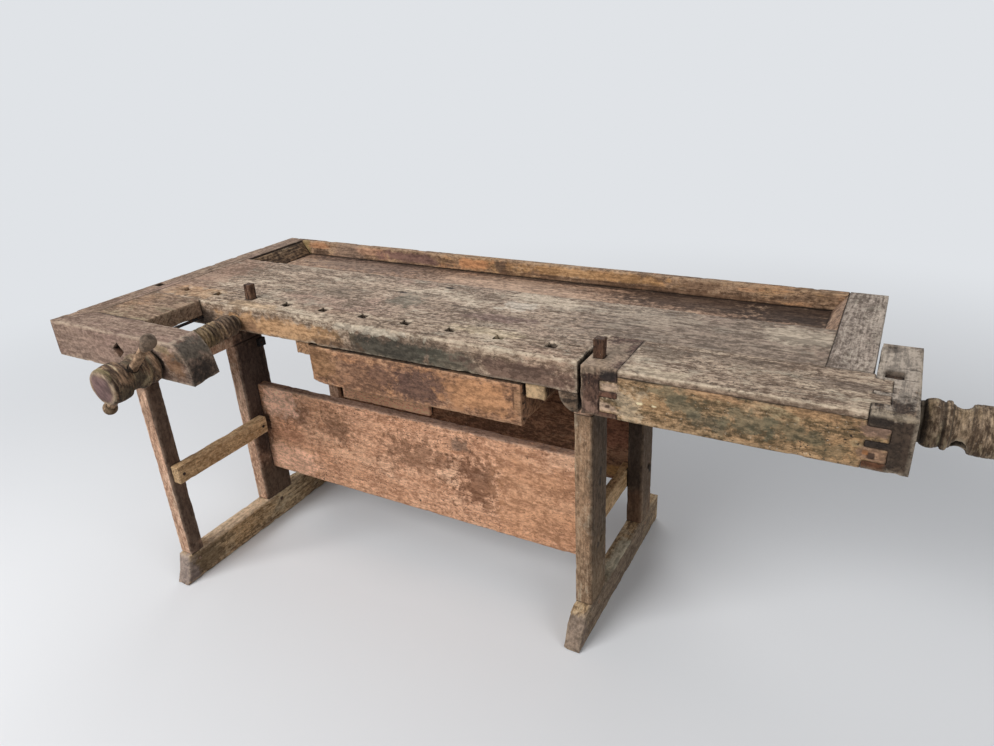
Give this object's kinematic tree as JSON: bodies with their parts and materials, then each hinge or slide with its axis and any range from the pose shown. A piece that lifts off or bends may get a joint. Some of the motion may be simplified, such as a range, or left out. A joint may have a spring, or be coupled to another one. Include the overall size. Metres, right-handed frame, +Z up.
{
  "type": "woodworking bench",
  "caption": "Joiner's bench on two trestles with a screw vise on the left, a sliding tail vise, dog holes, a tool tray and a drawer.",
  "frame": {"origin": "on the floor, under the middle of the bench's overall length and depth", "axes": "+Z up; +X along the bench from the front vise to the tail vise; the maker stands at -Y"},
  "size_m": [2.323, 1.133, 0.8834],
  "materials": {
    "top_timber": "old bare timber, worn and oil-stained",
    "tray_timber": "old bare timber, worn and oil-stained",
    "arm_timber": "old bare timber, worn and oil-stained",
    "vise_timber": "old bare timber, worn and oil-stained",
    "cheek_timber": "old bare timber, worn and oil-stained",
    "screw_timber": "turned hardwood, waxed and dirty",
    "handle_timber": "turned hardwood, hand-polished",
    "dog_timber": "old bare timber, worn and oil-stained",
    "leg_timber": "old bare timber, worn and oil-stained",
    "foot_timber": "old bare timber, worn and oil-stained",
    "stretcher_timber": "old bare timber, worn and oil-stained",
    "drawer_timber": "old bare timber, worn and oil-stained",
    "iron": "dark forged iron, dull"
  },
  "bodies": {
    "root": {"dog_strip": "top_timber", "bench_slab": "top_timber", "end_board_left": "top_timber", "end_board_right": "top_timber", "tray_bottom": "tray_timber", "tray_back_rail": "tray_timber", "tray_ramp_left": "tray_timber", "tray_ramp_right": "tray_timber", "slab_end_bracket": "top_timber", "front_vise_arm": "arm_timber", "front_vise_block": "top_timber", "front_vise_bolt": "iron", "front_vise_nut": "iron", "tail_guide_strip": "vise_timber", "tail_guide_keepers": "vise_timber", "tail_screw_nut": "vise_timber", "front_stretcher": "stretcher_timber", "rear_stretcher": "stretcher_timber", "stretcher_bolts": "iron", "stretcher_nuts": "iron", "left_front_leg": "leg_timber", "left_middle_leg": "leg_timber", "left_rear_leg": "leg_timber", "left_foot": "foot_timber", "left_bearer": "leg_timber", "right_front_leg": "leg_timber", "right_rear_leg": "leg_timber", "right_foot": "foot_timber", "right_bearer": "leg_timber", "tenon_pegs": "leg_timber", "left_mid_rail": "foot_timber", "right_mid_rail": "foot_timber", "rail_nails": "iron", "rear_stretcher_batten": "foot_timber", "batten_nails": "iron", "leg_bolt": "iron", "leg_bolt_nut": "iron", "drawer_runner_left": "foot_timber", "drawer_runner_right": "foot_timber", "runner_screws": "iron"},
    "front_pad": {"front_screw_pad": "screw_timber"},
    "front_screw": {"front_screw": "screw_timber"},
    "front_handle": {"front_handle": "handle_timber", "front_handle_knob": "handle_timber"},
    "tail_vise": {"tail_jaw": "vise_timber", "tail_cheek": "cheek_timber", "tail_cover": "vise_timber", "tail_end_block": "vise_timber", "tail_garter_key": "vise_timber", "tail_guide_bar": "vise_timber"},
    "tail_screw": {"tail_screw": "screw_timber"},
    "slab_dog": {"slab_dog": "dog_timber", "slab_dog_spring": "iron"},
    "jaw_dog": {"jaw_dog": "dog_timber", "jaw_dog_spring": "iron"},
    "drawer": {"drawer_front": "drawer_timber", "drawer_side_left": "drawer_timber", "drawer_side_right": "drawer_timber", "drawer_back": "drawer_timber", "drawer_bottom": "drawer_timber"}
  },
  "joints": [
    {"name": "front_screw_travel", "type": "slide", "parent": "root", "child": "front_pad", "axis": [0, -0.9988, -0.0488], "range_m": [-0.0001, 0.1501]},
    {"name": "front_screw_turn", "type": "hinge", "parent": "front_pad", "child": "front_screw", "pos_m": [-0.7375, -0.36651, 0.7555], "axis": [0, -0.9988, -0.0488], "range_deg": [0, 4500]},
    {"name": "front_handle_slide", "type": "slide", "parent": "front_screw", "child": "front_handle", "axis": [0.7431, -0.0327, 0.6683], "range_m": [-0.066, 0.115]},
    {"name": "tail_vise_travel", "type": "slide", "parent": "root", "child": "tail_vise", "axis": [1, 0, 0], "range_m": [-0.0041, 0.1701]},
    {"name": "tail_screw_turn", "type": "hinge", "parent": "tail_vise", "child": "tail_screw", "pos_m": [0.9265, 0.00649, 0.7484], "axis": [1, 0, 0], "range_deg": [-110, 5100]},
    {"name": "slab_dog_lift", "type": "slide", "parent": "root", "child": "slab_dog", "axis": [0, 0, 1], "range_m": [-0.045, 0.03]},
    {"name": "jaw_dog_lift", "type": "slide", "parent": "tail_vise", "child": "jaw_dog", "axis": [0, 0, 1], "range_m": [-0.045, 0.03]},
    {"name": "drawer_slide", "type": "slide", "parent": "root", "child": "drawer", "axis": [0, -1, 0], "range_m": [0, 0.25]}
  ],
  "couplings": [
    {"joint": "front_screw_travel", "follows": "front_screw_turn", "m_per_rad": 0.0019099},
    {"joint": "tail_vise_travel", "follows": "tail_screw_turn", "m_per_rad": 0.0019099}
  ]
}
